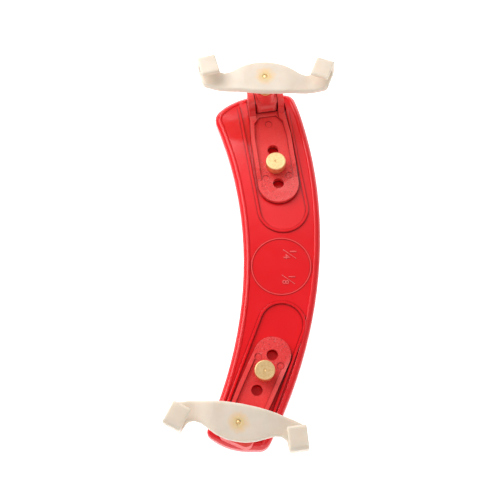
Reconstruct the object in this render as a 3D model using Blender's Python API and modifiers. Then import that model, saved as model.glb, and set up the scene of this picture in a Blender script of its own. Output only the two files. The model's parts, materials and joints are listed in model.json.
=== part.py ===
"""Small folding violin shoulder rest, modelled in metres with +Z up.

The arched red base plate runs along Y, its wide shoulder end at +Y, and bows towards +X.
A foam pad fills its underside. Each end carries a bracket in a channel, held by a brass
thumb screw, and a folding swivel block whose threaded post carries a rubber fork.
"""

import math

import bmesh
import bpy
from mathutils import Matrix, Vector

MM = 0.001
OBJECT_NAME = "violin_shoulder_rest"

# Base plate, seen from above. Its long sides, left and right, are arcs about (x, y) with a
# radius. A corner starts from the plate's end as a wide arc that turns by an angle, and goes
# on as a tight arc to the long side. The right corners have the one radius only.
LONG_SIDES = {-1: (-194.4 * MM, -5.9 * MM, 178.7 * MM), 1: (-182.9 * MM, 8.0 * MM, 199.6 * MM)}
PLATE_ENDS = {-1: -84.5 * MM, 1: 74.5 * MM}
LEFT_CORNERS = {  # tight radius, wide radius, angle of the wide arc
    -1: (2.5 * MM, 27.0 * MM, math.radians(35)),
    1: (6.0 * MM, 32.0 * MM, math.radians(46)),
}
RIGHT_CORNER = (5.0 * MM, 5.0 * MM, 0.0)
END_STATIONS = (
    0.0, 0.1, 0.4, 0.9, 1.6, 2.5, 3.6, 4.6, 5.2, 5.8, 6.5, 7.4, 8.6, 10.0, 11.2, 12.4, 13.8, 16.0,
)
MIDDLE_STATIONS = 20

# Side view: a large arch, and a quicker droop towards each end.
ARCH_TOP, ARCH_RADIUS = -6.0 * MM, 800.0 * MM
DROOP_LENGTH, DROOP_RADIUS = 12.0 * MM, 26.0 * MM

# Shell of the base plate. Heights are measured from the arch.
SKIRT_LOW, SKIRT_WALL, SKIN_LOW = -5.2 * MM, 1.6 * MM, -3.6 * MM
EDGE_BEAD = (  # (inset, height) from the outer side over the raised edge to the field
    (0.0, -2.0), (0.15, -1.5), (0.6, -0.95), (1.2, -0.42), (1.7, -0.08), (2.1, 0.0),
    (2.5, -0.12), (2.85, -0.5),
)
FIELD_DROP = 0.5 * MM  # the field inside the raised edge lies this much lower
SLOT_PLACE, SLOT_LENGTH, SLOT_WIDTH = (9.3 * MM, 48.2 * MM), 4.2 * MM, 1.4 * MM
RING_RADIUS, RING_WIDTH, RING_HEIGHT = 12.7 * MM, 0.6 * MM, 0.25 * MM
RING_CENTRE = (0.05 * MM, -8.0 * MM)

# Foam pad, as (inset from the plate's outline, height): the first rows are measured from the
# arch, under the plate, and the others from the top of the arch, so that the pad lies flat.
PAD_UPPER = ((1.95, -4.2), (1.95, -5.5), (0.9, -5.5))
PAD_LOWER = ((1.6, -14.0), (2.2, -16.0), (3.2, -17.1), (4.4, -17.5))

# Channels, brackets and what they carry. z = 0 is the plate's surface at the thumb screw.
CHANNEL_FLOOR, RIM_WIDTH, RIM_HEIGHT, RIM_CHAMFER = -1.4 * MM, 1.15 * MM, 0.85 * MM, 0.3 * MM
BRACKET_LOW, BRACKET_FLOOR, WALL_TOP = -1.2 * MM, 0.7 * MM, 2.5 * MM
WALL_THICK, END_CORNER = 1.7 * MM, 3.0 * MM
RAMP_START, RAMP_END = -6.0 * MM, -0.5 * MM  # where the walls rise, measured from the screw
TAPER_START, TAPER_END = -16.0 * MM, -6.0 * MM  # of the sides, measured from the hinge
HOLE_RADIUS, HOLE_PITCH = 2.35 * MM, 8.0 * MM
RECESS_RADIUS, RECESS_LOW = 2.7 * MM, -2.9 * MM  # in the plate, under each spare hole
MARK_RADIUS, MARK_DEPTH = 1.6 * MM, 0.3 * MM
RUN_GAP = 0.3 * MM

# Hinge of the swivel block.
PIVOT_HEIGHT = 4.6 * MM
BLOCK_RADIUS, DRUM_RADIUS, DRUM_CORNER_RADIUS = 3.95 * MM, 4.7 * MM, 5.3 * MM
EAR_RADIUS, EAR_THICK = 3.9 * MM, 2.7 * MM
PIN_RADIUS, PIN_GAP = 1.25 * MM, 0.12 * MM
BLOCK_TOP = 13.4 * MM
STOP_THICK, STOP_TOP = 1.5 * MM, 7.2 * MM

# Threads, drawn at their outer diameter: M4 thumb screw and M5 post.
SCREW_RADIUS, POST_RADIUS, THREAD_GAP = 1.95 * MM, 2.45 * MM, 0.15 * MM
INSERT_RADIUS, INSERT_TOP, INSERT_LOW = 3.0 * MM, -1.6 * MM, -6.9 * MM
BOSS_RADIUS, BOSS_LOW = 4.4 * MM, -7.2 * MM
SCREW_LOW, SCREW_TOP = -6.6 * MM, 4.4 * MM
HEAD_RADIUS, HEAD_LOW, HEAD_TOP = 4.25 * MM, 1.9 * MM, 6.2 * MM
COLLAR_RADIUS, COLLAR_LOW = 3.3 * MM, 0.85 * MM
KNURL_TEETH, KNURL_DEPTH = 44, 0.26 * MM
BUSH_RADIUS, BUSH_LOW = 3.1 * MM, 6.6 * MM
POST_LOW, POST_TOP = 8.4 * MM, 22.5 * MM
TIP_RADIUS, TIP_TOP = 0.7 * MM, 23.4 * MM

# Fork, in its own plane: u runs along it, v points away from the middle of the rest.
FORK_FACE, FORK_THICK = 23.5 * MM, 3.0 * MM
FORK_OUTLINE = (  # right half, from the middle of the outer bulge to the inner edge
    (0.0, 7.5), (4.0, 7.2), (8.0, 6.1), (11.5, 4.4), (14.6, 2.8), (17.4, 2.3), (19.9, 3.4),
    (21.6, 7.6), (22.4, 8.0), (28.6, 5.7), (29.0, 4.9), (26.6, -2.9), (25.6, -3.9),
    (21.0, -5.2), (14.0, -6.5), (7.0, -7.35), (0.0, -7.6),
)
FORK_ROUNDING = 0.7 * MM
DROOP_START, DROOP_END, ARM_DROOP = 9.0 * MM, 20.0 * MM, 2.0 * MM
HOOK_CENTRE, HOOK_SPLAY = (24.1 * MM, 2.25 * MM), math.radians(17.5)
HOOK_HALF_WIDTH, HOOK_HALF_LENGTH = 3.85 * MM, 4.9 * MM
MOUTH_GAP, LIP_THICK, HOOK_WALL = 5.0 * MM, 1.7 * MM, 2.3 * MM
CORE_HALF_LENGTH, CORE_HALF_WIDTH, CORE_OFFSET = 18.0 * MM, 2.8 * MM, -1.7 * MM
CORE_TOP, CORE_THICK = 22.6 * MM, 1.2 * MM
HUB_RADIUS, HUB_LOW, HUB_COVER = 3.7 * MM, 19.0 * MM, 1.4 * MM
TIP_HOLE_RADIUS = 0.9 * MM

# The two ends: place and lean of the channel and of the bracket, as plan angles about +Z,
# measured from +Y; half widths; how far short of the plate's end each side of the rim
# stops; reach from thumb screw to hinge; outward lean of the post; turn of the fork on it.
ENDS = {
    "shoulder": {
        "screw": (-2.0 * MM, 37.05 * MM),
        "tangent_at": 47.0 * MM,
        "channel": (1.0 * MM, 17.9 * MM, math.radians(10.0)),
        "bracket_lean": math.radians(8.2),
        "channel_half": 9.7 * MM,
        "rim_gaps": (8.0 * MM, 10.1 * MM),
        "bracket_half": 8.65 * MM,
        "clevis_half": 7.6 * MM,
        "reach": 30.0 * MM,
        "post_lean": math.radians(5.5),
        "fork_turn": math.radians(-10.6),
    },
    "chest": {
        "screw": (-7.0 * MM, -53.8 * MM),
        "tangent_at": -60.0 * MM,
        "channel": (0.15 * MM, -33.3 * MM, math.radians(159.8)),
        "bracket_lean": math.radians(156.7),
        "channel_half": 8.9 * MM,
        "rim_gaps": (1.6 * MM, 8.0 * MM),
        "bracket_half": 7.7 * MM,
        "clevis_half": 7.3 * MM,
        "reach": 25.8 * MM,
        "post_lean": math.radians(2.2),
        "fork_turn": math.radians(12.8),
    },
}

MATERIALS = {  # colour, roughness, metallic
    "red_plastic": ((0.84, 0.02, 0.03), 0.25, 0.0),
    "bracket_plastic": ((0.72, 0.04, 0.05), 0.5, 0.0),
    "brass": ((0.86, 0.63, 0.28), 0.3, 1.0),
    "steel": ((0.62, 0.62, 0.64), 0.3, 1.0),
    "stiff_plastic": ((0.8, 0.76, 0.68), 0.5, 0.0),
    "fork_rubber": ((0.85, 0.76, 0.64), 0.45, 0.0),
    "foam": ((0.03, 0.03, 0.035), 0.95, 0.0),
}


# ---------------------------------------------------------------- scene and objects


def clear_scene():
    for obj in list(bpy.data.objects):
        bpy.data.objects.remove(obj, do_unlink=True)


def new_collection(name):
    collection = bpy.data.collections.new(name)
    bpy.context.scene.collection.children.link(collection)
    return collection


def new_material(name):
    colour, roughness, metallic = MATERIALS[name]
    material = bpy.data.materials.new(name)
    material.use_nodes = True
    shader = material.node_tree.nodes["Principled BSDF"]
    shader.inputs["Base Color"].default_value = (*colour, 1.0)
    shader.inputs["Roughness"].default_value = roughness
    shader.inputs["Metallic"].default_value = metallic
    material.diffuse_color = (*colour, 1.0)
    return material


class Builder:
    """Holds the collections and materials, and adds parts and cutters to them."""

    def __init__(self):
        self.parts = new_collection(OBJECT_NAME)
        self.cutters = new_collection("cutters")
        self.cutters.hide_render = True
        self.materials = {name: new_material(name) for name in MATERIALS}

    def part(self, name, mesh, material, parent=None, matrix=None):
        obj = bpy.data.objects.new(name, mesh)
        self.parts.objects.link(obj)
        mesh.materials.append(self.materials[material])
        mesh.shade_smooth()
        mesh.set_sharp_from_angle(angle=math.radians(35))
        obj.parent = parent
        obj.matrix_local = matrix or Matrix()
        return obj

    def empty(self, name, matrix, parent=None):
        obj = bpy.data.objects.new(name, None)
        obj.empty_display_size = 0.004
        self.parts.objects.link(obj)
        obj.parent = parent
        obj.matrix_local = matrix
        return obj

    def combine(self, target, mesh, operation, matrix=None):
        """Cuts mesh from target, or joins it on. Its matrix is in the frame of target's parent."""
        tool = bpy.data.objects.new(f"{target.name}_{operation.lower()}", mesh)
        self.cutters.objects.link(tool)
        tool.hide_render = True
        tool.display_type = "WIRE"
        tool.parent = target.parent
        tool.matrix_local = matrix or Matrix()
        modifier = target.modifiers.new(tool.name, "BOOLEAN")
        modifier.object = tool
        modifier.operation = operation

    def cut(self, target, mesh, matrix=None):
        self.combine(target, mesh, "DIFFERENCE", matrix)

    def join(self, target, mesh, matrix=None):
        self.combine(target, mesh, "UNION", matrix)


# ---------------------------------------------------------------- shapes


def finished(shape, name):
    """The bmesh as a mesh, with its faces pointing out."""
    bmesh.ops.recalc_face_normals(shape, faces=shape.faces)
    mesh = bpy.data.meshes.new(name)
    shape.to_mesh(mesh)
    shape.free()
    return mesh


def curve_mesh(name, points, half):
    """A flat outline, filled on both sides and extruded by half each way, as a welded mesh."""
    curve = bpy.data.curves.new(name, "CURVE")
    curve.dimensions = "2D"
    curve.fill_mode = "BOTH"
    curve.extrude = half
    spline = curve.splines.new("POLY")
    spline.points.add(len(points) - 1)
    for point, (x, y) in zip(spline.points, points):
        point.co = (x, y, 0.0, 1.0)
    spline.use_cyclic_u = True
    holder = bpy.data.objects.new(name, curve)
    bpy.context.scene.collection.objects.link(holder)
    bpy.context.view_layer.update()
    graph = bpy.context.evaluated_depsgraph_get()
    mesh = bpy.data.meshes.new_from_object(holder.evaluated_get(graph))
    bpy.data.objects.remove(holder, do_unlink=True)
    bpy.data.curves.remove(curve)
    shape = bmesh.new()
    shape.from_mesh(mesh)
    bpy.data.meshes.remove(mesh)
    bmesh.ops.remove_doubles(shape, verts=shape.verts, dist=1e-6)
    return shape


def prism(name, points, low, high):
    """An outline in XY, extruded from low to high."""
    shape = curve_mesh(name, points, (high - low) / 2)
    bmesh.ops.translate(shape, verts=shape.verts, vec=(0, 0, (low + high) / 2))
    return finished(shape, name)


def side_prism(name, points, left, right):
    """An outline given as (y, z), extruded along X from left to right."""
    shape = curve_mesh(name, points, (right - left) / 2)
    for vert in shape.verts:
        y, z, x = vert.co
        vert.co = (x + (left + right) / 2, y, z)
    return finished(shape, name)


def box(name, low, high):
    shape = bmesh.new()
    size = Matrix.Diagonal(Vector(high) - Vector(low)).to_4x4()
    middle = Matrix.Translation((Vector(high) + Vector(low)) / 2)
    bmesh.ops.create_cube(shape, size=1.0, matrix=middle @ size)
    return finished(shape, name)


def rod(name, radius, low, high, centre=(0.0, 0.0), segments=32, along="Z"):
    """A cylinder along Z, or along X through (y, z) = centre."""
    shape = bmesh.new()
    bmesh.ops.create_cone(
        shape, cap_ends=True, segments=segments, radius1=radius, radius2=radius, depth=high - low
    )
    middle = (low + high) / 2
    if along == "Z":
        place = Matrix.Translation((*centre, middle))
    else:
        place = Matrix.Translation((middle, *centre)) @ Matrix.Rotation(math.pi / 2, 4, "Y")
    bmesh.ops.transform(shape, matrix=place, verts=shape.verts)
    return finished(shape, name)


def arc(centre, radius, start, end, steps):
    """Points on an arc, from one angle to another in degrees."""
    angles = (math.radians(start + (end - start) * i / steps) for i in range(steps + 1))
    return [(centre[0] + radius * math.cos(a), centre[1] + radius * math.sin(a)) for a in angles]


def racetrack(half, length, steps=20):
    """A channel outline: round end about the origin, straight sides running along +Y."""
    return [*arc((0.0, 0.0), half, 180, 360, steps), (half, length), (-half, length)]


def stacked(name, loops, rungs=False):
    """Closed solid through loops of equally many points. Each end is one face, or with rungs
    a ladder of faces between the two halves of the loop, so that it can follow a curve."""
    shape = bmesh.new()
    rows = [[shape.verts.new(point) for point in loop] for loop in loops]
    count = len(rows[0])
    for low, high in zip(rows, rows[1:]):
        for i in range(count):
            j = (i + 1) % count
            shape.faces.new((low[i], low[j], high[j], high[i]))
    for row in (rows[0], rows[-1]):
        if not rungs:
            shape.faces.new(row)
            continue
        for i in range(count // 2 - 1):
            shape.faces.new((row[i], row[i + 1], row[count - 2 - i], row[count - 1 - i]))
    return finished(shape, name)


def turned(builder, name, profile, material, parent, segments=32):
    """A turned part about local Z. The profile is (radius, height), down its outer side."""
    mesh = bpy.data.meshes.new(name)
    edges = [(i, i + 1) for i in range(len(profile) - 1)]
    if profile[0][0] > 0:
        edges.append((len(profile) - 1, 0))
    mesh.from_pydata([(radius, 0.0, height) for radius, height in profile], edges, [])
    obj = builder.part(name, mesh, material, parent)
    screw = obj.modifiers.new("turn", "SCREW")
    screw.steps = screw.render_steps = segments
    screw.use_merge_vertices = True
    screw.merge_threshold = 1e-5
    return obj


def tube(bore, outer, low, high, chamfer):
    """Profile of a turned tube with chamfered outer edges."""
    return (
        (outer - chamfer, high), (outer, high - chamfer), (outer, low + chamfer),
        (outer - chamfer, low), (bore, low), (bore, high),
    )


def knurled(name, radius, low, high, chamfer, bore, bore_top):
    """A knurled wheel about Z with chamfered rims and a blind bore from below."""
    count = 2 * KNURL_TEETH
    turns = [2 * math.pi * i / count for i in range(count)]

    def ring(height, shrink, depth):
        radii = [radius - shrink - depth * (i % 2) for i in range(count)]
        return [(r * math.cos(a), r * math.sin(a), height) for r, a in zip(radii, turns)]

    inside = [(bore * math.cos(a), bore * math.sin(a)) for a in turns]
    loops = [
        [(x, y, bore_top) for x, y in inside],
        [(x, y, low) for x, y in inside],
        ring(low, chamfer, 0.0),
        ring(low + chamfer, 0.0, KNURL_DEPTH),
        ring(high - chamfer, 0.0, KNURL_DEPTH),
        ring(high, chamfer, 0.0),
    ]
    return stacked(name, loops)


def closed_ring(name, loops):
    """Like stacked, for a ring: the last loop joins on to the first."""
    shape = bmesh.new()
    rows = [[shape.verts.new(point) for point in loop] for loop in loops]
    for low, high in zip(rows, rows[1:] + rows[:1]):
        for i in range(len(low)):
            j = (i + 1) % len(low)
            shape.faces.new((low[i], low[j], high[j], high[i]))
    return finished(shape, name)


# ---------------------------------------------------------------- plate outline and arch


def arch(y):
    """Height of the plate's surface at y: the large arch, less the droop near the ends."""
    past = max(sign * (y - end) + DROOP_LENGTH for sign, end in PLATE_ENDS.items())
    past = max(past, 0.0)
    return -((y - ARCH_TOP) ** 2) / (2 * ARCH_RADIUS) - past**2 / (2 * DROOP_RADIUS)


def arch_slope(y):
    """Slope of the large arch, where the droop hasn't begun."""
    return -(y - ARCH_TOP) / ARCH_RADIUS


def arc_x(centre, radius, side, y):
    """X where the arc to the left or right of its centre passes y."""
    return centre[0] + side * math.sqrt(max(radius**2 - (y - centre[1]) ** 2, 0.0))


def outline_x(side, y, inset):
    """X of the plate's outline at y on its left (-1) or right (1), inset all round."""
    x, middle, radius = LONG_SIDES[side]
    radius -= side * inset
    for sign, end in PLATE_ENDS.items():
        tight, wide, turn = LEFT_CORNERS[sign] if side < 0 else RIGHT_CORNER
        tight, wide = max(tight - inset, 1.0 * MM), max(wide - inset, 1.0 * MM)
        wide_y = end - sign * (inset + wide)
        tight_y = wide_y + sign * (wide - tight) * math.cos(turn)
        reach = radius - side * tight
        tight_x = x + math.sqrt(reach**2 - (tight_y - middle) ** 2)
        if sign * (y - tight_y) > tight * math.cos(turn):
            wide_x = tight_x - side * (wide - tight) * math.sin(turn)
            return arc_x((wide_x, wide_y), wide, side, y)
        if sign * (y - middle) > sign * (tight_y - middle) * radius / reach:
            return arc_x((tight_x, tight_y), tight, side, y)
    return arc_x((x, middle), radius, 1, y)


def stations(inset):
    """The ys at which the outline has a point on each side, from the chest end."""
    low, high = PLATE_ENDS[-1] + inset, PLATE_ENDS[1] - inset
    steps = [step * MM for step in END_STATIONS]
    first, last = low + steps[-1], high - steps[-1]
    middle = [first + (last - first) * i / MIDDLE_STATIONS for i in range(1, MIDDLE_STATIONS)]
    return [low + step for step in steps] + middle + [high - step for step in reversed(steps)]


def plate_loop(inset, height):
    """The plate's outline, inset in plan and laid at a height over the arch."""
    ys = stations(inset)
    right = [(outline_x(1, y, inset), y) for y in ys]
    left = [(outline_x(-1, y, inset), y) for y in reversed(ys)]
    return [(x, y, arch(y) + height) for x, y in right + left]


def plan_matrix(x, y, lean):
    return Matrix.Translation((x, y, 0.0)) @ Matrix.Rotation(lean, 4, "Z")


def laid_on_arch(name, points, holes_of, low, high, place):
    """A ring between two outlines in a plan frame, laid over the arch."""
    flat = [[place @ Vector((x, y, 0.0)) for x, y in outline] for outline in (points, holes_of)]
    outer, inner = flat
    levels = ((outer, low), (outer, high), (inner, high), (inner, low))
    return closed_ring(name, [[(p.x, p.y, arch(p.y) + h) for p in loop] for loop, h in levels])


# ---------------------------------------------------------------- base plate and pad


def make_rim(name, end, plate_end, steps=20, side_steps=7):
    """The raised lip round a channel: down one side, round its inner end and up the other."""
    x, y, lean = end["channel"]
    place = plan_matrix(x, y, lean)
    half = end["channel_half"]
    lengths = []
    for side, gap in zip((-1, 1), end["rim_gaps"]):
        limit = plate_end - math.copysign(gap, plate_end)
        lengths.append((limit - y - side * half * math.sin(lean)) / math.cos(lean))

    def path(offset):
        shares = [i / side_steps for i in range(1, side_steps + 1)]
        left, right = ([length * share for share in shares] for length in lengths)
        flat = [(-offset, along) for along in reversed(left)]
        flat += arc((0.0, 0.0), offset, 180, 360, steps)
        flat += [(offset, along) for along in right]
        return [place @ Vector((*point, 0.0)) for point in flat]

    low, high = -1.8 * MM, RIM_HEIGHT - FIELD_DROP
    side = high - RIM_CHAMFER
    section = (
        (RIM_WIDTH, low), (RIM_WIDTH, side), (RIM_WIDTH - RIM_CHAMFER, high),
        (RIM_CHAMFER, high), (0.0, side), (0.0, low),
    )
    lines = [(path(half + offset), height) for offset, height in section]
    rows = zip(*([(p.x, p.y, arch(p.y) + height) for p in line] for line, height in lines))
    return stacked(name, [list(row) for row in rows])


def make_base(builder, frames):
    under = [plate_loop(SKIRT_WALL, SKIN_LOW), plate_loop(SKIRT_WALL, SKIRT_LOW)]
    over = [plate_loop(0.0, SKIRT_LOW)]
    over += [plate_loop(inset * MM, height * MM) for inset, height in EDGE_BEAD]
    base = builder.part("base_plate", stacked("base_plate", under + over, rungs=True), "red_plastic")

    circle = arc((0.0, 0.0), RING_RADIUS, 0, 350, 35)
    inner = arc((0.0, 0.0), RING_RADIUS - RING_WIDTH, 0, 350, 35)
    ring = laid_on_arch(
        "size_ring", circle, inner, -1.5 * MM, RING_HEIGHT - FIELD_DROP,
        plan_matrix(*RING_CENTRE, 0.0),
    )
    builder.join(base, ring)
    for (name, end), sign in zip(ENDS.items(), (1, -1)):
        builder.join(base, make_rim(f"{name}_rim", end, PLATE_ENDS[sign]))
    for name, end in ENDS.items():
        frame = frames[name]
        builder.join(base, rod(f"{name}_boss", BOSS_RADIUS, BOSS_LOW, -2.4 * MM), frame)
        slot = racetrack(end["channel_half"], 75 * MM)
        channel = prism(f"{name}_channel", slot, CHANNEL_FLOOR, 6 * MM)
        builder.cut(base, channel, channel_frame(end, frame))
        builder.cut(base, rod(f"{name}_bore", INSERT_RADIUS + 0.1 * MM, -9 * MM, 0.0), frame)
        for place in (-HOLE_PITCH, HOLE_PITCH):
            recess = rod(f"{name}_recess", RECESS_RADIUS, RECESS_LOW, 0.0, (0.0, place))
            builder.cut(base, recess, frame)
    x, y = SLOT_PLACE
    slot = box(
        "slot", (x - SLOT_WIDTH / 2, y - SLOT_LENGTH / 2, -8 * MM),
        (x + SLOT_WIDTH / 2, y + SLOT_LENGTH / 2, 6 * MM),
    )
    builder.cut(base, slot, channel_frame(ENDS["shoulder"], frames["shoulder"]))


def channel_frame(end, frame):
    """The channel's own frame: in the bracket's plane, with the channel's place and lean."""
    x, y, lean = end["channel"]
    normal = frame.to_3x3() @ Vector((0, 0, 1))
    origin = frame.translation
    height = origin.z - (normal.x * (x - origin.x) + normal.y * (y - origin.y)) / normal.z
    return Matrix.Translation((x, y, height)) @ tilt_matrix(end) @ Matrix.Rotation(lean, 4, "Z")


def tilt_matrix(end):
    return Matrix.Rotation(math.atan(arch_slope(end["tangent_at"])), 4, "X")


def make_pad(builder, frames):
    loops = [plate_loop(inset * MM, height * MM) for inset, height in PAD_UPPER]
    for inset, height in PAD_LOWER:
        loops.append([(x, y, height * MM) for x, y, _ in plate_loop(inset * MM, 0.0)])
    pad = builder.part("foam_pad", stacked("foam_pad", loops, rungs=True), "foam")
    for name in ENDS:
        hole = rod(f"{name}_boss_hole", BOSS_RADIUS + 0.5 * MM, BOSS_LOW - 1 * MM, 0.0)
        builder.cut(pad, hole, frames[name])


# ---------------------------------------------------------------- brackets


def bracket_outline(end):
    """Round inner end, straight sides, a taper to the clevis, then round outer corners."""
    half, narrow, reach = end["bracket_half"], end["clevis_half"], end["reach"]
    side, outer = narrow - END_CORNER, outer_end(end) - END_CORNER
    return [
        *arc((0.0, -HOLE_PITCH), half, 180, 360, 24),
        (half, reach + TAPER_START),
        (narrow, reach + TAPER_END),
        *arc((side, outer), END_CORNER, 0, 90, 6),
        *arc((-side, outer), END_CORNER, 90, 180, 6),
        (-narrow, reach + TAPER_END),
        (-half, reach + TAPER_START),
    ]


def pocket_outline(end):
    """The recess between the side walls, open at the round end, with cut corners outside."""
    half, narrow, reach = end["bracket_half"], end["clevis_half"], end["reach"]
    wide, slim = half - WALL_THICK, narrow - WALL_THICK
    top = reach - DRUM_RADIUS - 1.2 * MM
    return [
        (-wide, -12 * MM), (wide, -12 * MM), (wide, reach + TAPER_START),
        (slim + 0.3 * MM, top - 3.2 * MM), (slim - 2.2 * MM, top),
        (2.2 * MM - slim, top), (-slim - 0.3 * MM, top - 3.2 * MM), (-wide, reach + TAPER_START),
    ]


def outer_end(end):
    return end["reach"] + DRUM_RADIUS + RUN_GAP + STOP_THICK


def side_profile(end):
    """Side view: floor, walls that ramp up from the round end, round ears and the stop."""
    reach = end["reach"]
    outer = outer_end(end) + 1 * MM
    return [
        (-20 * MM, BRACKET_LOW),
        (outer, BRACKET_LOW),
        (outer, STOP_TOP),
        *arc((reach, PIVOT_HEIGHT), EAR_RADIUS, 42, 180, 12),
        (reach - EAR_RADIUS - 1.6 * MM, WALL_TOP),
        (RAMP_END, WALL_TOP),
        (RAMP_START, BRACKET_FLOOR),
        (-20 * MM, BRACKET_FLOOR),
    ]


def make_bracket(builder, name, end, swivel):
    half, narrow, reach = end["bracket_half"], end["clevis_half"], end["reach"]
    profile = side_prism("bracket", side_profile(end), -half - 1 * MM, half + 1 * MM)
    bracket = builder.part(f"{name}_bracket", profile, "bracket_plastic", swivel)
    plan = prism("plan", bracket_outline(end), BRACKET_LOW - 1 * MM, 12 * MM)
    builder.combine(bracket, plan, "INTERSECT")
    builder.cut(bracket, prism("pocket", pocket_outline(end), BRACKET_FLOOR, 12 * MM))
    gap = narrow - EAR_THICK
    block_room = rod(
        "block_room", DRUM_RADIUS + RUN_GAP, -gap, gap, (reach, PIVOT_HEIGHT), along="X"
    )
    builder.cut(bracket, block_room)
    neck_room = box(
        "neck_room",
        (-gap - 0.02 * MM, reach - DRUM_RADIUS - 4 * MM, BRACKET_FLOOR + 0.6 * MM),
        (gap + 0.02 * MM, reach + DRUM_RADIUS + RUN_GAP, 12 * MM),
    )
    builder.cut(bracket, neck_room)
    pin_hole = rod(
        "pin_hole", PIN_RADIUS + PIN_GAP, -narrow - 1 * MM, narrow + 1 * MM,
        (reach, PIVOT_HEIGHT), 24, "X",
    )
    builder.cut(bracket, pin_hole)
    for step in (-1, 0, 1):
        hole = rod("screw_hole", HOLE_RADIUS, BRACKET_LOW - 1 * MM, 3 * MM, (0.0, step * HOLE_PITCH))
        builder.cut(bracket, hole)
    marks = [(-5.0 * MM, -5.0 * MM), (5.0 * MM, -5.0 * MM), (0.0, reach - 9.5 * MM)]
    for place in marks[: 3 if name == "shoulder" else 2]:
        mark = rod("ejector_mark", MARK_RADIUS, BRACKET_FLOOR - MARK_DEPTH, 3 * MM, place, 20)
        builder.cut(bracket, mark)


# ---------------------------------------------------------------- thumb screw and insert


def make_screw(builder, name, axis):
    bore = SCREW_RADIUS + THREAD_GAP
    turned(
        builder, f"{name}_screw_insert",
        tube(bore, INSERT_RADIUS, INSERT_LOW, INSERT_TOP, 0.2 * MM), "brass", axis,
    )
    shank = ((0.0, SCREW_TOP), (SCREW_RADIUS, SCREW_TOP), (SCREW_RADIUS, SCREW_LOW + 0.6 * MM),
             (SCREW_RADIUS - 0.6 * MM, SCREW_LOW), (0.0, SCREW_LOW))
    turned(builder, f"{name}_thumb_screw", shank, "brass", axis)
    bore_top = SCREW_TOP + 0.2 * MM
    head = builder.part(
        f"{name}_thumb_screw_head",
        knurled("head", HEAD_RADIUS, HEAD_LOW, HEAD_TOP, 0.45 * MM, bore, bore_top),
        "brass", axis,
    )
    collar = closed_ring("collar", [
        [(*point, height) for point in arc((0.0, 0.0), radius, 0, 345, 23)]
        for radius, height in (
            (bore, COLLAR_LOW), (COLLAR_RADIUS, COLLAR_LOW),
            (COLLAR_RADIUS, HEAD_LOW + 0.4 * MM), (bore, HEAD_LOW + 0.4 * MM),
        )
    ])
    builder.join(head, collar)
    dimple = rod("dimple", 0.55 * MM, HEAD_TOP - 0.25 * MM, HEAD_TOP + 1 * MM, segments=16)
    builder.cut(head, dimple)


# ---------------------------------------------------------------- swivel block and post


def make_block(builder, name, end, hinge):
    """A drum about the pin, rounded in plan, with an upright round boss on it, and the post's
    bush in the boss. The hinge frame has its origin on the pin, so heights start from there."""
    up = -PIVOT_HEIGHT
    half = end["clevis_half"] - EAR_THICK - RUN_GAP
    drum = rod("drum", DRUM_RADIUS, -half, half, segments=40, along="X")
    block = builder.part(f"{name}_swivel_block", drum, "bracket_plastic", hinge)
    corners = rod("drum_corners", DRUM_CORNER_RADIUS, -6 * MM, 6 * MM, segments=48)
    builder.combine(block, corners, "INTERSECT")
    builder.join(block, rod("boss", BLOCK_RADIUS, 0.5 * MM, BLOCK_TOP + up, segments=40))
    bush_room = rod("bush_room", BUSH_RADIUS + 0.1 * MM, BUSH_LOW + up - 0.1 * MM, 20 * MM)
    builder.cut(block, bush_room)
    pin_room = rod("pin_room", PIN_RADIUS + PIN_GAP, -8 * MM, 8 * MM, segments=24, along="X")
    builder.cut(block, pin_room)

    turned(
        builder, f"{name}_post_bush",
        tube(POST_RADIUS + THREAD_GAP, BUSH_RADIUS, BUSH_LOW + up, BLOCK_TOP + up, 0.15 * MM),
        "brass", hinge,
    )
    top, low, tip = POST_TOP + up, POST_LOW + up, TIP_TOP + up
    post = ((0.0, tip), (TIP_RADIUS, tip), (TIP_RADIUS, top), (1.6 * MM, top),
            (POST_RADIUS, top - 0.85 * MM), (POST_RADIUS, low + 0.6 * MM),
            (POST_RADIUS - 0.6 * MM, low), (0.0, low))
    turned(builder, f"{name}_post", post, "brass", hinge)


def make_pin(builder, name, end, hinge):
    half = end["clevis_half"] - 0.1 * MM
    pin = rod("pin", PIN_RADIUS, -half, half, segments=24, along="X")
    builder.part(f"{name}_hinge_pin", pin, "steel", hinge)


# ---------------------------------------------------------------- forks


def droop(u):
    """How far an arm of the fork lies below its middle, at u from the post."""
    part = min(max((abs(u) - DROOP_START) / (DROOP_END - DROOP_START), 0.0), 1.0)
    return ARM_DROOP * part * part * (3 - 2 * part)


def drooped(name, points, low, high, rounding=0.0):
    """An outline extruded from low to high, with rounded edges, its arms let down."""
    shape = curve_mesh(name, points, (high - low) / 2)
    bmesh.ops.translate(shape, verts=shape.verts, vec=(0, 0, (low + high) / 2))
    bmesh.ops.recalc_face_normals(shape, faces=shape.faces)
    if rounding:
        rims = [edge for edge in shape.edges if abs(edge.calc_face_angle(0.0) - math.pi / 2) < 0.1
                and abs(edge.verts[0].co.z - edge.verts[1].co.z) < 1e-6]
        bmesh.ops.bevel(
            shape, geom=rims, offset=rounding, segments=2, profile=0.5, affect="EDGES"
        )
    steps = 6
    for sign in (-1, 1):
        for i in range(steps + 1):
            u = sign * (DROOP_START + (DROOP_END - DROOP_START) * i / steps)
            bmesh.ops.bisect_plane(
                shape, geom=[*shape.verts, *shape.edges, *shape.faces],
                plane_co=(u, 0, 0), plane_no=(1, 0, 0), dist=1e-7,
            )
    for vert in shape.verts:
        vert.co.z -= droop(vert.co.x)
    return finished(shape, name)


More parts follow.
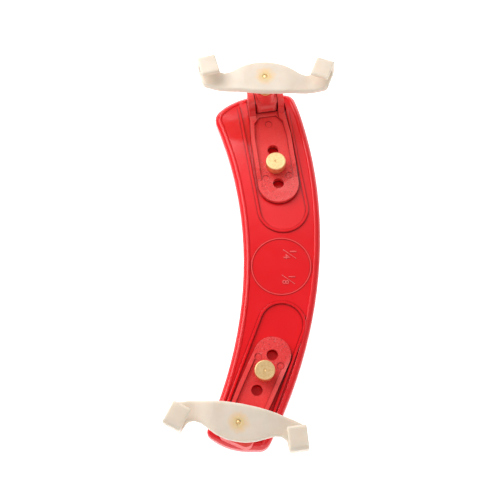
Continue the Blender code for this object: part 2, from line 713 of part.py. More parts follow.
def hook_mesh(name, sign):
    """One C-shaped hook: floor, wall and lip, its mouth towards the middle of the rest."""
    floor = FORK_FACE - PIVOT_HEIGHT - ARM_DROOP
    sole = floor - FORK_THICK - 0.2 * MM
    long, wall = HOOK_HALF_LENGTH, HOOK_HALF_LENGTH - HOOK_WALL
    outline = [
        (-long + 2.5 * MM, sole + 0.6 * MM), (long - 1.2 * MM, sole),
        (long, sole + 1.2 * MM), (long, floor + MOUTH_GAP + LIP_THICK - 1.2 * MM),
        (long - 1.2 * MM, floor + MOUTH_GAP + LIP_THICK),
        (-long + 0.7 * MM, floor + MOUTH_GAP + LIP_THICK),
        (-long, floor + MOUTH_GAP + LIP_THICK - 0.6 * MM), (-long, floor + MOUTH_GAP),
        (wall - 0.8 * MM, floor + MOUTH_GAP), (wall, floor + MOUTH_GAP - 0.8 * MM),
        (wall, floor + 0.8 * MM), (wall - 0.8 * MM, floor - 0.02 * MM),
        (-long + 2.5 * MM, floor - 0.05 * MM),
    ]
    shape = curve_mesh(name, outline, HOOK_HALF_WIDTH)
    for vert in shape.verts:
        y, z, x = vert.co
        vert.co = (x, y, z)
    place = Matrix.Translation((sign * HOOK_CENTRE[0], HOOK_CENTRE[1], 0.0))
    turn = Matrix.Rotation(-sign * HOOK_SPLAY, 4, "Z")
    bmesh.ops.transform(shape, matrix=place @ turn, verts=shape.verts)
    return finished(shape, name)


def fork_outline():
    right = [(u * MM, v * MM) for u, v in FORK_OUTLINE]
    left = [(-u, v) for u, v in right[1:-1]]
    return right + left[::-1]


def core_outline(grow):
    """A bar with round ends, along u."""
    half, radius = CORE_HALF_LENGTH - CORE_HALF_WIDTH, CORE_HALF_WIDTH + grow
    right, left = (half, CORE_OFFSET), (-half, CORE_OFFSET)
    return arc(right, radius, -90, 90, 10) + arc(left, radius, 90, 270, 10)


def make_fork(builder, name, end, hinge):
    up = -PIVOT_HEIGHT
    turn = builder.empty(f"{name}_fork_axis", Matrix.Rotation(end["fork_turn"], 4, "Z"), hinge)
    face, back = FORK_FACE + up, FORK_FACE - FORK_THICK + up
    cover = builder.part(
        f"{name}_fork_cover", drooped("cover", fork_outline(), back, face, FORK_ROUNDING),
        "fork_rubber", turn,
    )
    for sign in (-1, 1):
        builder.join(cover, hook_mesh("hook", sign))
    builder.join(cover, rod("hub_cover", HUB_RADIUS + HUB_COVER, HUB_LOW + up, back + 0.5 * MM))
    top, low = CORE_TOP + up, CORE_TOP - CORE_THICK + up
    gap = RUN_GAP / 2
    builder.cut(cover, drooped("core_room", core_outline(gap), low - gap, top + gap))
    builder.cut(cover, rod("hub_room", HUB_RADIUS + gap, HUB_LOW + up - 1 * MM, top + gap / 2))
    builder.cut(cover, rod("tip_hole", TIP_HOLE_RADIUS, top - 1 * MM, face + 1 * MM, segments=16))

    core = builder.part(
        f"{name}_fork_core", drooped("core", core_outline(0.0), low, top), "stiff_plastic", turn
    )
    builder.join(core, rod("hub", HUB_RADIUS, HUB_LOW + up, top - 0.3 * MM))
    builder.cut(core, rod("post_hole", POST_RADIUS + THREAD_GAP, HUB_LOW + up - 1 * MM, top + 1 * MM))


# ---------------------------------------------------------------- assembly


def end_matrix(end):
    """Frame of one bracket: origin at its thumb screw, +Y along it, +Z up from the plate."""
    x, y = end["screw"]
    tangent = end["tangent_at"]
    height = arch(tangent) + arch_slope(tangent) * (y - tangent)
    place = Matrix.Translation((x, y, height)) @ tilt_matrix(end)
    return place @ Matrix.Rotation(end["bracket_lean"], 4, "Z")


def stand_on_floor(builder):
    """Moves the whole rest so that its box stands centred over the origin."""
    bpy.context.view_layer.update()
    graph = bpy.context.evaluated_depsgraph_get()
    corners = []
    for obj in builder.parts.objects:
        if obj.type != "MESH":
            continue
        shown = obj.evaluated_get(graph)
        corners += [shown.matrix_world @ vert.co for vert in shown.data.vertices]
    low = Vector([min(corner[i] for corner in corners) for i in range(3)])
    high = Vector([max(corner[i] for corner in corners) for i in range(3)])
    shift = Vector((-(low.x + high.x) / 2, -(low.y + high.y) / 2, -low.z))
    for obj in [*builder.parts.objects, *builder.cutters.objects]:
        if obj.parent is None:
            obj.matrix_local = Matrix.Translation(shift) @ obj.matrix_local


def main():
    clear_scene()
    builder = Builder()
    frames = {name: end_matrix(end) for name, end in ENDS.items()}
    make_base(builder, frames)
    make_pad(builder, frames)
    for name, end in ENDS.items():
        bracket_axis = builder.empty(f"{name}_bracket_axis", frames[name])
        make_screw(builder, name, bracket_axis)
        make_bracket(builder, name, end, bracket_axis)
        place = Matrix.Translation((0.0, end["reach"], PIVOT_HEIGHT))
        place @= Matrix.Rotation(-end["post_lean"], 4, "X")
        hinge = builder.empty(f"{name}_fold_axis", place, bracket_axis)
        make_pin(builder, name, end, hinge)
        make_block(builder, name, end, hinge)
        make_fork(builder, name, end, hinge)
    stand_on_floor(builder)


main()
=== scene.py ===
"""Looks of a small folding violin shoulder rest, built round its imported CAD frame.

Lengths are in metres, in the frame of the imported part: +X right, +Y towards the shoulder
end, +Z up, with the foam pad standing on z = 0.
"""

import json
import math

import bmesh
import bpy
from mathutils import Matrix, Vector


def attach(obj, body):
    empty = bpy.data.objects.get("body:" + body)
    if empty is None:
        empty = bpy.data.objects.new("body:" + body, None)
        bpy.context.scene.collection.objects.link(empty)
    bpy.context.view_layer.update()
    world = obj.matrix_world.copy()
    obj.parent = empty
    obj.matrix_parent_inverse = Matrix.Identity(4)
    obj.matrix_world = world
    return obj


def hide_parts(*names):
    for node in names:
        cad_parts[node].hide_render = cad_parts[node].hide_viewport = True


MM = 0.001
ENDS = ("shoulder", "chest")

# Camera, measured from the shoulder thumb screw: high up, leaning back towards the chest end.
CAMERA_OFFSET = (-11.0 * MM, -262.2 * MM, 634.2 * MM)
CAMERA_LEAN = math.radians(19.5)
CAMERA_LENS, CAMERA_SENSOR = 115.2, 36.0

# Centre of the raised size ring, measured from the shoulder thumb screw.
RING_CENTRE = (2.05 * MM, -45.05 * MM)

# Size marks: (numerator, denominator, centre measured from the ring's centre).
SIZE_MARKS = (("1", "4", (3.6 * MM, 5.4 * MM)), ("1", "8", (3.0 * MM, -5.8 * MM)))
DIGIT_SIZE, DIGIT_STEP, DIGIT_RISE = 3.8 * MM, 1.15 * MM, 1.3 * MM
BAR_REACH, BAR_WIDTH = (2.0 * MM, 2.75 * MM), 0.3 * MM  # half its run along the text and up
RING_RADIUS = 12.4 * MM  # to the middle of the raised line
MARK_THICK, MARK_BEVEL = 0.16 * MM, 0.08 * MM

# Threads: depth and pitch of the M5 posts and the M4 thumb screws.
POST_PITCH, POST_THREAD = 0.8 * MM, 0.42 * MM
SCREW_PITCH, SCREW_THREAD = 0.7 * MM, 0.36 * MM

THREAD_STEPS, THREAD_ROWS = 36, 8  # points round a rod, and rows of them per turn
THREAD_CREST, THREAD_FLANK = 0.15, 0.7  # shares of half a pitch
POST_RADIUS, SCREW_RADIUS = 2.45 * MM, 1.95 * MM

# The post's plain tip, with its dome as (share of the tip's radius, distance below its top).
POST_TIP_RADIUS, POST_TIP_LENGTH = 0.95 * MM, 0.9 * MM
TIP_DOME = (
    (1.0, 0.4 * MM), (0.94, 0.25 * MM), (0.75, 0.1 * MM), (0.4, 0.02 * MM), (0.1, 0.0),
)

# Thumb screw heads.
HEAD_RADIUS, HEAD_LOW, COLLAR_RADIUS = 4.25 * MM, 1.9 * MM, 3.3 * MM
KNURL_TEETH, KNURL_DEPTH = 44, 0.26 * MM
STEPS_PER_TOOTH = 4

# Soft mouldings: the voxels they are rebuilt from, and how many times they are smoothed.
FORK_VOXEL, FORK_SMOOTHING = 0.3 * MM, 8
PAD_VOXEL, PAD_SMOOTHING = 0.9 * MM, 6
FORK_CORE_SWELL = 0.12 * MM

# Hard parts: the width of their rounded edges, and the sharpest angle that stays unrounded.
PLATE_EDGE, PLATE_EDGE_ANGLE = 0.14 * MM, math.radians(30)
PART_EDGE, PART_EDGE_ANGLE = 0.15 * MM, math.radians(35)
WELD_GAP = 0.001 * MM  # points of a CAD mesh that lie closer together than this are one

# Sky round the rest, as (upward part of the direction, radiance): dim overhead, with a
# bright ring of light further down that is split by one narrow darker seam.
SKY = (
    (0.0, 0.45), (0.50, 0.50), (0.62, 1.15), (0.842, 1.25), (0.848, 0.65), (0.857, 0.65),
    (0.863, 1.25), (0.905, 1.15), (0.935, 0.35), (1.0, 0.30),
)
SKY_STRENGTH = 0.72

KEY_PLACE, KEY_TARGET = (-0.34, 0.36, 0.42), (0.0, 0.03, 0.02)
KEY_SIZE, KEY_POWER = 0.60, 3.2
FLOOR_REACH, FLOOR_DROP = 6.0, 0.05 * MM
FLOOR_GREY, FLOOR_GLOW = 0.55, 1.05


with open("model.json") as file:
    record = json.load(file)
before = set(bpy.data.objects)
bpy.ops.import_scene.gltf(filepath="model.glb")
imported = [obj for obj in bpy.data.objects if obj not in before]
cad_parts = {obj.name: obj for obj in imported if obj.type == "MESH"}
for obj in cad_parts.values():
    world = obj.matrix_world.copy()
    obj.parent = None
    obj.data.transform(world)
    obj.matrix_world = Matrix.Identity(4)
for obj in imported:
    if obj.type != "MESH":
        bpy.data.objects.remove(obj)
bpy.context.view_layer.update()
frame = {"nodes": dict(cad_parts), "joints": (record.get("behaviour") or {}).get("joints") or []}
nodes = frame["nodes"]
joints = {joint["name"]: joint for joint in frame["joints"]}


# ---------------------------------------------------------------- frames of the two ends


def axes_frame(origin, x_axis, z_axis):
    """Rigid frame with the given origin, Z and nearest X."""
    z = Vector(z_axis).normalized()
    y = z.cross(Vector(x_axis)).normalized()
    x = y.cross(z)
    turn = Matrix((x, y, z)).transposed().to_4x4()
    return Matrix.Translation(origin) @ turn


def hinge_frame(end):
    """Origin on the hinge pin, X along it, Z along the post."""
    fold = joints[f"{end}_fold"]
    return axes_frame(fold["pos_m"], fold["axis"], joints[f"{end}_fork_turn"]["axis"])


def screw_frame(end):
    """Origin on the thumb screw's axis at the plate, X across the bracket, Z up the screw."""
    turn = joints[f"{end}_screw_turn"]
    return axes_frame(turn["pos_m"], joints[f"{end}_fold"]["axis"], turn["axis"])


def ring_frame():
    """Upright frame in the middle of the size ring."""
    x, y = Vector(joints["shoulder_screw_turn"]["pos_m"]).to_2d() + Vector(RING_CENTRE)
    return Matrix.Translation((x, y, 0.0))


def reach_along(node, place):
    """Lowest and highest point of a CAD node along the Z of a frame."""
    into = place.inverted()
    heights = [(into @ vert.co).z for vert in nodes[node].data.vertices]
    return min(heights), max(heights)


# ---------------------------------------------------------------- materials


class Look:
    """A new material round one Principled shader, with short calls to wire its nodes."""

    def __init__(self, name, **sockets):
        self.material = bpy.data.materials.new(name)
        self.material.use_nodes = True
        self.tree = self.material.node_tree
        self.shader = self.tree.nodes["Principled BSDF"]
        for socket, value in sockets.items():
            self.shader.inputs[socket.replace("_", " ")].default_value = value
        self.place = self.node("TexCoord").outputs["Object"]

    def node(self, kind, **inputs):
        """A shader node with its inputs set or linked. Spaces in their names are given as _."""
        node = self.tree.nodes.new(f"ShaderNode{kind}")
        for name, value in inputs.items():
            self.feed(node.inputs[name.replace("_", " ")], value)
        return node

    def feed(self, socket, value):
        if isinstance(value, bpy.types.NodeSocket):
            self.tree.links.new(value, socket)
        else:
            socket.default_value = value

    def noise(self, size, detail=3.0, vector=None):
        """Soft noise whose features are about size across."""
        node = self.node("TexNoise", Vector=vector or self.place, Scale=1 / size, Detail=detail)
        return node.outputs["Fac"]

    def mottle(self, size, low=0.0, high=1.0, detail=3.0):
        """Noise stretched to run from low to high."""
        return self.spread(self.noise(size, detail), 0.3, 0.7, low, high)

    def cells(self, size):
        node = self.node("TexVoronoi", Vector=self.place, Scale=1 / size)
        return node.outputs["Distance"]

    def spread(self, value, low, high, to_low=0.0, to_high=1.0):
        node = self.node("MapRange", Value=value)
        for name, number in (
            ("From Min", low), ("From Max", high), ("To Min", to_low), ("To Max", to_high)
        ):
            node.inputs[name].default_value = number
        return node.outputs["Result"]

    def vector(self, operation, first, second=(0.0, 0.0, 0.0)):
        node = self.node("VectorMath")
        node.operation = operation
        self.feed(node.inputs[0], first)
        self.feed(node.inputs[1], second)
        return node

    def from_axis(self, place):
        """Distance from the Z axis of a frame."""
        away = self.vector("SUBTRACT", self.place, place.translation).outputs["Vector"]
        across = self.vector("CROSS_PRODUCT", away, place.col[2].to_3d()).outputs["Vector"]
        return self.vector("LENGTH", across).outputs["Value"]

    def rings(self, place, size):
        """Noise that runs in circles about the Z axis of a frame, like turning marks."""
        along = self.node("CombineXYZ", X=self.from_axis(place)).outputs["Vector"]
        return self.noise(size, 2.0, along)

    def blend(self, share, first, second):
        """Colour between first and second."""
        node = self.node("Mix")
        node.data_type = "RGBA"
        self.feed(node.inputs["Factor"], share)
        self.feed(node.inputs[6], first)
        self.feed(node.inputs[7], second)
        return node.outputs[2]

    def open_share(self, distance):
        """1 on open surfaces, down to 0 in creases narrower than the distance: the mask for
        painted shade.
        """
        node = self.node("AmbientOcclusion", Distance=distance)
        return self.spread(node.outputs["AO"], 0.45, 0.9)

    def raised_edge_highlight(self, strength):
        """Up to strength along edges that stand out, such as the top of a narrow rim: the mask
        for a painted highlight.
        """
        node = self.node("NewGeometry")
        return self.spread(node.outputs["Pointiness"], 0.52, 0.62, 0.0, strength)

    def maths(self, operation, first, second):
        node = self.node("Math")
        node.operation = operation
        self.feed(node.inputs[0], first)
        self.feed(node.inputs[1], second)
        return node.outputs["Value"]

    def times(self, first, second):
        return self.maths("MULTIPLY", first, second)

    def bump(self, height, distance, strength=1.0, under=None):
        """Adds a bump, on top of an earlier one."""
        node = self.node("Bump", Height=height, Distance=distance, Strength=strength)
        if under is not None:
            self.tree.links.new(under, node.inputs["Normal"])
        self.tree.links.new(node.outputs["Normal"], self.shader.inputs["Normal"])
        return node.outputs["Normal"]

    def colour(self, value):
        self.feed(self.shader.inputs["Base Color"], value)

    def roughness(self, value):
        self.feed(self.shader.inputs["Roughness"], value)


def srgb(red, green, blue):
    """A colour given in the 0 to 255 steps of a screen, as linear light."""

    def linear(value):
        value /= 255
        return value / 12.92 if value <= 0.04045 else ((value + 0.055) / 1.055) ** 2.4

    return (linear(red), linear(green), linear(blue), 1.0)


def glossy_red():
    """Bright moulded plastic with the faint swirls and ripples of its filling. Painted shade
    darkens its creases and a painted highlight lightens its size ring.
    """
    look = Look("glossy_red_plastic", Subsurface_Weight=0.15, Subsurface_Scale=0.8 * MM,
                Subsurface_Radius=(1.0, 0.1, 0.1))
    flow = look.mottle(25 * MM, detail=2.0)
    clean = look.blend(flow, srgb(234, 22, 29), srgb(242, 28, 36))
    # Painted shade: the red turns darker in creases narrower than 1 mm, where shade falls.
    crease_shaded = look.blend(look.open_share(1.0 * MM), srgb(140, 6, 12), clean)
    # Painted highlight: a pale line along the top of the raised size ring.
    beside = look.maths("SUBTRACT", look.from_axis(ring_frame()), RING_RADIUS)
    off_ring = look.maths("ABSOLUTE", beside, 0.0)
    ring_highlight = look.spread(off_ring, 0.12 * MM, 0.3 * MM, 0.4, 0.0)
    look.colour(look.blend(ring_highlight, crease_shaded, srgb(255, 120, 118)))
    look.roughness(look.mottle(6 * MM, 0.10, 0.18, detail=4.0))
    look.bump(look.noise(1.6 * MM, 2.0), 0.006 * MM)
    return look.material


def highlit_red():
    """The same plastic, coloured paler on the raised marks as a painted highlight."""
    look = Look("rubbed_red_plastic", Subsurface_Weight=0.15, Subsurface_Scale=0.8 * MM,
                Subsurface_Radius=(1.0, 0.1, 0.1))
    highlight_mottle = look.mottle(0.8 * MM)
    # Painted highlight: the raised marks are coloured paler than the plate round them.
    look.colour(look.blend(highlight_mottle, srgb(246, 66, 68), srgb(255, 116, 114)))
    look.roughness(look.mottle(0.5 * MM, 0.25, 0.4))
    look.bump(look.noise(0.3 * MM), 0.006 * MM)
    return look.material


def satin_red(end):
    """Fine spark-eroded grain, with the small light and dark specks it gives. They are
    strongest at the bracket's round end and fade towards its hinge. Painted shade darkens its
    creases, and a painted highlight lightens its raised edges."""
    look = Look(f"{end}_satin_red_plastic", Subsurface_Weight=0.1, Subsurface_Scale=0.6 * MM,
                Subsurface_Radius=(1.0, 0.15, 0.12))
    flow = look.mottle(12 * MM, detail=2.0)
    clean = look.blend(flow, srgb(236, 46, 46), srgb(244, 60, 58))
    # Painted shade: darker red in creases narrower than 0.8 mm, where shade falls.
    base = look.blend(look.open_share(0.8 * MM), srgb(140, 14, 18), clean)
    place = screw_frame(end)
    away = look.vector("SUBTRACT", look.place, place.translation).outputs["Vector"]
    along = look.vector("DOT_PRODUCT", away, place.col[1].to_3d()).outputs["Value"]
    graininess = look.spread(along, -6 * MM, 10 * MM, 1.0, 0.25)
    burnt = look.spread(look.noise(0.6 * MM), 0.56, 0.66, 0.0, 0.8)
    dark = look.times(graininess, burnt)
    speckled = look.blend(dark, base, srgb(176, 24, 30))
    shifted = look.vector("ADD", look.place, (1, 0, 0)).outputs["Vector"]
    specks = look.spread(look.noise(0.7 * MM, 3.0, shifted), 0.58, 0.68, 0.0, 0.7)
    pale = look.times(graininess, specks)
    grained = look.blend(pale, speckled, srgb(244, 118, 116))
    # Painted highlight: pale red along raised edges such as rim tops.
    look.colour(look.blend(look.raised_edge_highlight(0.4), grained, srgb(255, 128, 124)))
    look.roughness(look.mottle(0.8 * MM, 0.38, 0.55))
    grain = look.bump(look.noise(0.4 * MM, 4.0), 0.05 * MM)
    look.bump(look.noise(2.2 * MM), 0.02 * MM, under=grain)
    return look.material


def brass(name, place):
    """Free-cutting brass with turning marks about the Z axis of a frame."""
    look = Look(name, Metallic=1.0)
    patina = look.spread(look.noise(0.9 * MM, 4.0), 0.4, 0.7)
    look.colour(look.blend(patina, (0.98, 0.70, 0.36, 1.0), (0.86, 0.56, 0.25, 1.0)))
    look.roughness(look.mottle(0.5 * MM, 0.38, 0.52))
    turned = look.bump(look.rings(place, 0.16 * MM), 0.02 * MM)
    look.bump(look.noise(0.3 * MM, 4.0), 0.02 * MM, under=turned)
    return look.material


def pin_steel():
    look = Look("pin_steel", Metallic=1.0)
    stain = look.mottle(0.9 * MM)
    look.colour(look.blend(stain, (0.66, 0.66, 0.68, 1.0), (0.5, 0.5, 0.52, 1.0)))
    look.roughness(look.mottle(0.4 * MM, 0.22, 0.36))
    look.bump(look.noise(0.2 * MM), 0.006 * MM)
    return look.material


def core_plastic():
    look = Look("core_plastic", Subsurface_Weight=0.4, Subsurface_Scale=2 * MM)
    tone = look.mottle(5 * MM)
    look.colour(look.blend(tone, srgb(236, 226, 206), srgb(226, 214, 192)))
    look.roughness(look.mottle(1.0 * MM, 0.35, 0.5))
    look.bump(look.noise(0.5 * MM), 0.02 * MM)
    return look.material


def fork_rubber(end):
    """Milky rubber with a painted glow round the post's axis, where the post's brass shows
    through.
    """
    look = Look(f"{end}_fork_rubber", Subsurface_Weight=0.7, Subsurface_Scale=2 * MM,
                Subsurface_Radius=(1.0, 0.85, 0.7))
    cloud = look.mottle(7 * MM)
    base = look.blend(cloud, srgb(237, 226, 211), srgb(230, 217, 200))
    ragged = look.mottle(1.6 * MM, -0.5 * MM, 0.5 * MM, detail=2.0)
    away = look.maths("ADD", look.from_axis(hinge_frame(end)), ragged)
    # Painted glow: warm yellow light of the brass through the rubber, fading away from the post.
    painted_brass_glow = look.spread(away, 1.4 * MM, 4.8 * MM, 1.0, 0.0)
    look.colour(look.blend(painted_brass_glow, base, srgb(250, 208, 150)))
    look.roughness(look.mottle(1.5 * MM, 0.34, 0.48))
    fine = look.bump(look.noise(0.3 * MM), 0.008 * MM)
    look.bump(look.noise(3 * MM), 0.05 * MM, under=fine)
    return look.material


def pad_foam():
    look = Look("pad_foam", Roughness=0.95, Sheen_Weight=0.25)
    pores = look.spread(look.cells(0.55 * MM), 0.1, 0.6)
    look.colour(look.blend(pores, srgb(26, 26, 29), srgb(58, 58, 63)))
    cells = look.bump(look.cells(0.55 * MM), 0.25 * MM)
    look.bump(look.noise(4 * MM), 0.3 * MM, under=cells)
    return look.material


def paint(obj, material):
    obj.data.materials.clear()
    obj.data.materials.append(material)


# ---------------------------------------------------------------- pieces


def add_piece(name, mesh, body, material, stands_for=None):
    """A new visible piece in world coordinates, riding on a body of the CAD model."""
    piece = bpy.data.objects.new(name, mesh)
    bpy.context.scene.collection.objects.link(piece)
    mesh.shade_smooth()
    paint(piece, material)
    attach(piece, body)
    if stands_for:
        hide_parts(stands_for)
    return piece


def welded_copy(name, *sources, swell=0.0):
    """One mesh made of the CAD nodes' meshes, each closed again along its edges. The first
    one is swollen, so that it meets the next without a gap."""
    shape = bmesh.new()
    for i, source in enumerate(sources):
        known = len(shape.verts)
        shape.from_mesh(nodes[source].data)
        shape.verts.ensure_lookup_table()
        bmesh.ops.remove_doubles(shape, verts=shape.verts[known:], dist=WELD_GAP)
        shape.normal_update()
        if i == 0:
            for vert in shape.verts:
                vert.co += vert.normal * swell
    mesh = bpy.data.meshes.new(name)
    shape.to_mesh(mesh)
    shape.free()
    for kind in ("custom_normal", "sharp_edge", "sharp_face"):
        if kind in mesh.attributes:
            mesh.attributes.remove(mesh.attributes[kind])
    return mesh


def without_cavities(mesh):
    """Keeps only the mesh's largest connected surface."""
    shape = bmesh.new()
    shape.from_mesh(mesh)
    left, islands = set(shape.verts), []
    while left:
        island, edge = set(), [left.pop()]
        while edge:
            vert = edge.pop()
            island.add(vert)
            near = {link.other_vert(vert) for link in vert.link_edges} & left
            left -= near
            edge.extend(near)
        islands.append(island)
    largest = max(islands, key=len)
    stray = [vert for vert in shape.verts if vert not in largest]
    bmesh.ops.delete(shape, geom=stray, context="VERTS")
    shape.to_mesh(mesh)
    shape.free()
    return mesh


def with_modifiers(name, data, *steps):
    """The mesh or text as a mesh, after a list of (modifier kind, settings)."""
    holder = bpy.data.objects.new(name, data)
    bpy.context.scene.collection.objects.link(holder)
    for kind, settings in steps:
        modifier = holder.modifiers.new(kind.lower(), kind)
        for key, value in settings.items():
            setattr(modifier, key, value)
    graph = bpy.context.evaluated_depsgraph_get()
    result = bpy.data.meshes.new_from_object(holder.evaluated_get(graph))
    bpy.data.objects.remove(holder, do_unlink=True)
    result.name = name
    return result


def softened(name, sharp, voxel, smoothing):
    """The mesh rebuilt from small voxels and smoothed, so that no edge stays sharp."""
    voxels = {"mode": "VOXEL", "voxel_size": voxel, "use_smooth_shade": True}
    smooth = {"factor": 0.5, "iterations": smoothing}
    return with_modifiers(name, sharp, ("REMESH", voxels), ("SMOOTH", smooth))


def make_fork(end, rubber):
    """The rubber fork as one soft moulding: its sharp CAD form fused and rounded off."""
    name, cover = f"{end}_fork_moulding", f"{end}_fork_cover"
    sharp = welded_copy(name, f"{end}_fork_core", cover, swell=FORK_CORE_SWELL)
    soft = without_cavities(softened(name, sharp, FORK_VOXEL, FORK_SMOOTHING))
    add_piece(name, soft, f"{end}_fork", rubber, cover)


def make_plate(red):
    """The base plate as a moulding: smooth over its arch, with its sharp edges rounded."""
    bevel = {"width": PLATE_EDGE, "segments": 2, "limit_method": "ANGLE",
             "angle_limit": PLATE_EDGE_ANGLE}
    sharp = welded_copy("plate_moulding", "base_plate")
    sharp.shade_smooth()
    soft = with_modifiers(
        "plate_moulding", sharp, ("BEVEL", bevel), ("WEIGHTED_NORMAL", {"weight": 60})
    )
    add_piece("plate_moulding", soft, "base", red, "base_plate")


def make_pad(foam):
    """The foam pad with its moulded corners rounded."""
    sharp = welded_copy("foam_cushion", "foam_pad")
    soft = softened("foam_cushion", sharp, PAD_VOXEL, PAD_SMOOTHING)
    pad = add_piece("foam_cushion", soft, "base", foam, "foam_pad")


def row_of(radii, height):
    """Points at one height, evenly spaced round the Z axis at the given radii."""
    angles = [2 * math.pi * i / len(radii) for i in range(len(radii))]
    return [(r * math.cos(angle), r * math.sin(angle), height) for r, angle in zip(radii, angles)]


def lathe(rows):
    """A closed shape through rows of points, each row a loop of equally many points."""
    shape = bmesh.new()
    steps = len(rows[0])
    loops = [[shape.verts.new(point) for point in row] for row in rows]
    for low, high in zip(loops, loops[1:]):
        for i in range(steps):
            j = (i + 1) % steps
            shape.faces.new((low[i], low[j], high[j], high[i]))
    for loop in (loops[0], loops[-1]):
        shape.faces.new(loop)
    bmesh.ops.recalc_face_normals(shape, faces=shape.faces)
    return shape


def finished(shape, name, place, smooth_below=35):
    mesh = bpy.data.meshes.new(name)
    bmesh.ops.transform(shape, matrix=place, verts=shape.verts)
    shape.to_mesh(mesh)
    shape.free()
    mesh.shade_smooth()
    mesh.set_sharp_from_angle(angle=math.radians(smooth_below))
    return mesh


def threaded_rod(name, place, radius, low, high, pitch, depth, tip=None):
    """A rod along the Z of a frame with a right-hand thread, chamfered at both ends. A tip,
    given as its radius and its top, is a plain domed stub on the rod's upper end."""
    count = round((high - low) / pitch * THREAD_ROWS)
    chamfer = 2 * depth

    def row(height):
        end_room = min(height - low, high - height)
        radii = []
        for i in range(THREAD_STEPS):
            wave = abs(((height / pitch - i / THREAD_STEPS) % 1.0) * 2 - 1)
            groove = depth * min(max((wave - THREAD_CREST) / THREAD_FLANK, 0.0), 1.0)
            radii.append(min(radius - groove, radius - chamfer + end_room))
        return row_of(radii, height)

    rows = [row(low + (high - low) * i / count) for i in range(count + 1)]
    if tip:
        tip_radius, tip_top = tip
        for share, below in ((1.0, tip_top - high), *TIP_DOME):
            rows.append(row_of([share * tip_radius] * THREAD_STEPS, tip_top - below))
    return finished(lathe(rows), name, place, smooth_below=50)


def make_threads(end):
    """The post and the thumb screw's shank with their real threads."""
    hinge, screw = hinge_frame(end), screw_frame(end)
    low, high = reach_along(f"{end}_post", hinge)
    shoulder = high - POST_TIP_LENGTH
    post = threaded_rod(
        f"{end}_threaded_post", hinge, POST_RADIUS, low, shoulder, POST_PITCH, POST_THREAD,
        (POST_TIP_RADIUS, high),
    )
    post_brass = brass(f"{end}_post_brass", hinge)
    add_piece(
        f"{end}_threaded_post", post, f"{end}_post", post_brass, f"{end}_post"
    )
    low, high = reach_along(f"{end}_thumb_screw", screw)
    shank = threaded_rod(
        f"{end}_threaded_shank", screw, SCREW_RADIUS, low, high, SCREW_PITCH, SCREW_THREAD
    )
    shank_brass = brass(f"{end}_shank_brass", screw)
    add_piece(
        f"{end}_threaded_shank", shank, f"{end}_screw_shank", shank_brass,
        f"{end}_thumb_screw",
    )


def head_profile(low, high):
    """Rows of the head as (radius, height, share of the knurl's depth), from its collar up
    over its two rounded rims to the drilled dimple in its top face."""
    collar = ((SCREW_RADIUS, low, 0), (COLLAR_RADIUS, low, 0), (COLLAR_RADIUS, HEAD_LOW, 0))
    rim = (  # distance in from the full radius in mm, height, share of the knurl's depth
        (0.5, HEAD_LOW, 0), (0.15, HEAD_LOW + 0.2 * MM, 0.3), (0.0, HEAD_LOW + 0.45 * MM, 1),
        (0.0, high - 0.5 * MM, 1), (0.12, high - 0.22 * MM, 0.4), (0.35, high - 0.05 * MM, 0),
        (0.55, high, 0), (0.75, high - 0.04 * MM, 0), (0.95, high - 0.04 * MM, 0),
    )
    dimple = (
        (0.62 * MM, high - 0.04 * MM, 0), (0.5 * MM, high - 0.16 * MM, 0),
        (0.1 * MM, high - 0.4 * MM, 0),
    )
    knurled = tuple((HEAD_RADIUS - inset * MM, height, share) for inset, height, share in rim)
    return collar + knurled + dimple


def make_head(end, yellow):
    """The knurled head: a collar, straight knurling between two rounded rims, and a top
    face with a turned step and a drilled dimple."""
    place = screw_frame(end)
    steps = KNURL_TEETH * STEPS_PER_TOOTH
    waves = [0.5 + 0.5 * math.cos(KNURL_TEETH * 2 * math.pi * i / steps) for i in range(steps)]
    rows = []
    for radius, height, knurl in head_profile(*reach_along(f"{end}_thumb_screw_head", place)):
        radii = [radius - KNURL_DEPTH * knurl * (1 - wave) for wave in waves]
        rows.append(row_of(radii, height))
    name = f"{end}_knurled_head"
    mesh = finished(lathe(rows), name, place, smooth_below=40)
    add_piece(name, mesh, f"{end}_screw_head", yellow, f"{end}_thumb_screw_head")


def plate_surface(x, y):
    """Frame on the base plate's upper surface at (x, y): Z along its normal, X nearest +X."""
    hit, point, normal, _ = nodes["base_plate"].ray_cast((x, y, 0.1), (0, 0, -1))
    return axes_frame(point, (1, 0, 0), normal)


def make_size_marks(red):
    """Raised fractions beside the middle of the size ring, read along -Y."""
    middle = ring_frame().translation
    for numerator, denominator, (x, y) in SIZE_MARKS:
        surface = plate_surface(middle.x + x, middle.y + y)
        place = surface @ Matrix.Rotation(-math.pi / 2, 4, "Z")
        for part, letter, along, up in (
            ("top", numerator, -DIGIT_STEP, DIGIT_RISE),
            ("bottom", denominator, DIGIT_STEP, -DIGIT_RISE),
        ):
            name = f"size_mark_{numerator}_{denominator}_{part}"
            text = bpy.data.curves.new(name, "FONT")
            text.body, text.size = letter, DIGIT_SIZE
            text.extrude, text.bevel_depth = MARK_THICK, MARK_BEVEL
            text.align_x, text.align_y = "CENTER", "CENTER"
            mesh = with_modifiers(name, text)
            mesh.transform(place @ Matrix.Translation((along, up, 0.0)))
            add_piece(name, mesh, "base", red)
        name = f"size_mark_{numerator}_{denominator}_bar"
        add_piece(name, fraction_bar(name, place), "base", red)


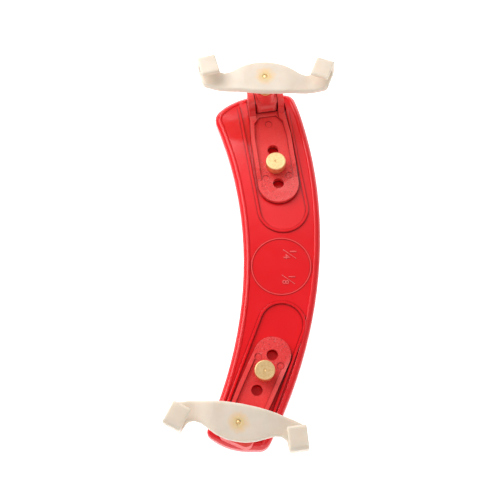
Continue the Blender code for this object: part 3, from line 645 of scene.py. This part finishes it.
def fraction_bar(name, place):
    """A slanting raised bar with bevelled edges, in the plane of a frame."""
    along, up = BAR_REACH
    shape = bmesh.new()
    lean = Matrix.Rotation(math.atan2(up, along), 4, "Z")
    size = Matrix.Diagonal((2 * math.hypot(along, up), BAR_WIDTH, 2 * MARK_THICK, 1.0))
    bmesh.ops.create_cube(shape, size=1.0, matrix=lean @ size)
    bmesh.ops.bevel(
        shape, geom=shape.edges[:], offset=MARK_BEVEL, segments=2, profile=0.5, affect="EDGES"
    )
    return finished(shape, name, place)


def soften_edges(node):
    """Rounds a CAD node's sharp edges so that they catch the light."""
    obj = nodes[node]
    weld = obj.modifiers.new("weld", "WELD")
    weld.merge_threshold = WELD_GAP
    bevel = obj.modifiers.new("soft_edges", "BEVEL")
    bevel.width, bevel.segments = PART_EDGE, 2
    bevel.limit_method, bevel.angle_limit = "ANGLE", PART_EDGE_ANGLE
    bevel.harden_normals = True


def build_looks():
    """All pieces. The size marks come before the plate's moulding, because they are set on
    the CAD plate's surface."""
    red, steel, core = glossy_red(), pin_steel(), core_plastic()
    foam = pad_foam()
    paint(nodes["base_plate"], red)
    paint(nodes["foam_pad"], foam)
    make_size_marks(highlit_red())
    make_plate(red)
    make_pad(foam)
    for end in ENDS:
        satin, rubber = satin_red(end), fork_rubber(end)
        yellow = brass(f"{end}_screw_brass", screw_frame(end))
        for part in ("bracket", "swivel_block"):
            paint(nodes[f"{end}_{part}"], satin)
            soften_edges(f"{end}_{part}")
        for part in ("thumb_screw", "thumb_screw_head", "screw_insert", "post", "post_bush"):
            paint(nodes[f"{end}_{part}"], yellow)
        paint(nodes[f"{end}_hinge_pin"], steel)
        paint(nodes[f"{end}_fork_core"], core)
        paint(nodes[f"{end}_fork_cover"], rubber)
        make_fork(end, rubber)
        make_threads(end)
        make_head(end, yellow)


# ---------------------------------------------------------------- studio


def make_key_light():
    """One large soft light, up and to the left of the shoulder end."""
    light = bpy.data.lights.new("key", "AREA")
    light.shape = "RECTANGLE"
    light.size, light.size_y = KEY_SIZE, KEY_SIZE
    light.energy = KEY_POWER
    obj = bpy.data.objects.new("key", light)
    bpy.context.scene.collection.objects.link(obj)
    obj.location = KEY_PLACE
    aim = Vector(KEY_TARGET) - Vector(KEY_PLACE)
    obj.rotation_euler = aim.to_track_quat("-Z", "Y").to_euler()


def make_floor():
    """A plain floor that glows, so that it stays white and shows no shadow."""
    shape = bmesh.new()
    bmesh.ops.create_grid(shape, x_segments=1, y_segments=1, size=FLOOR_REACH)
    mesh = finished(shape, "studio_floor", Matrix.Translation((0.0, 0.0, -FLOOR_DROP)))
    floor = bpy.data.objects.new("studio_floor", mesh)
    bpy.context.scene.collection.objects.link(floor)
    look = Look("studio_floor", Roughness=0.9, Base_Color=(FLOOR_GREY,) * 3 + (1.0,),
                Emission_Color=(1.0, 1.0, 1.0, 1.0), Emission_Strength=FLOOR_GLOW)
    paint(floor, look.material)


def make_sky():
    world = bpy.data.worlds.new("studio")
    bpy.context.scene.world = world
    world.use_nodes = True
    tree = world.node_tree
    split = tree.nodes.new("ShaderNodeSeparateXYZ")
    tree.links.new(tree.nodes.new("ShaderNodeTexCoord").outputs["Generated"], split.inputs[0])
    ramp = tree.nodes.new("ShaderNodeValToRGB")
    stops = ramp.color_ramp.elements
    stops.remove(stops[1])
    stops[0].position, stops[0].color = SKY[0][0], (SKY[0][1],) * 3 + (1.0,)
    for upward, radiance in SKY[1:]:
        stops.new(upward).color = (radiance, radiance, radiance, 1.0)
    tree.links.new(split.outputs["Z"], ramp.inputs["Fac"])
    background = tree.nodes["Background"]
    tree.links.new(ramp.outputs["Color"], background.inputs["Color"])
    background.inputs["Strength"].default_value = SKY_STRENGTH


def make_camera():
    camera = bpy.data.cameras.new("camera")
    camera.lens, camera.sensor_width = CAMERA_LENS, CAMERA_SENSOR
    obj = bpy.data.objects.new("camera", camera)
    bpy.context.scene.collection.objects.link(obj)
    obj.location = Vector(joints["shoulder_screw_turn"]["pos_m"]) + Vector(CAMERA_OFFSET)
    obj.rotation_euler = (CAMERA_LEAN, 0.0, 0.0)
    bpy.context.scene.camera = obj


bpy.context.scene.view_settings.view_transform = "Standard"
build_looks()
make_sky()
make_key_light()
make_floor()
make_camera()
